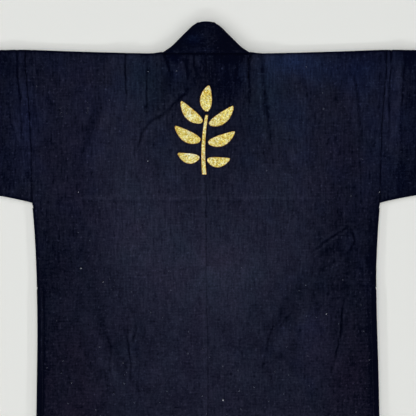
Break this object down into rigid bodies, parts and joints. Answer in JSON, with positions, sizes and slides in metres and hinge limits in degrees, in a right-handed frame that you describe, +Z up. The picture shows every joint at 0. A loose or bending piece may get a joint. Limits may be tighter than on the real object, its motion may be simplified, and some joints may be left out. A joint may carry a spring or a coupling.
{
  "type": "happi coat",
  "caption": "Straight-sleeved cotton happi coat laid face down, with a folded collar band, open front, side vents and a gold leaf sprig on its back.",
  "frame": {"origin": "centre of the bounding box, at its base on the surface that the coat lies on", "axes": "+X to the wearer's right along the sleeves, +Y from hem to collar, +Z up from the surface through the front panels and out of the back"},
  "size_m": [1.274, 0.8986, 0.0084],
  "materials": {
    "indigo_cotton": "matt, slubbed plain weave",
    "collar_cotton": "matt, close plain weave",
    "gold_lame": "glittering metallic cloth"
  },
  "bodies": {
    "root": {"body_panel_left": "indigo_cotton", "body_panel_right": "indigo_cotton", "sleeve_left": "indigo_cotton", "sleeve_right": "indigo_cotton", "collar_band": "collar_cotton", "sprig_stem": "gold_lame", "sprig_leaf_1": "gold_lame", "sprig_leaf_2": "gold_lame", "sprig_leaf_3": "gold_lame", "sprig_leaf_4": "gold_lame", "sprig_leaf_5": "gold_lame", "sprig_leaf_6": "gold_lame", "sprig_leaf_7": "gold_lame"}
  },
  "joints": []
}
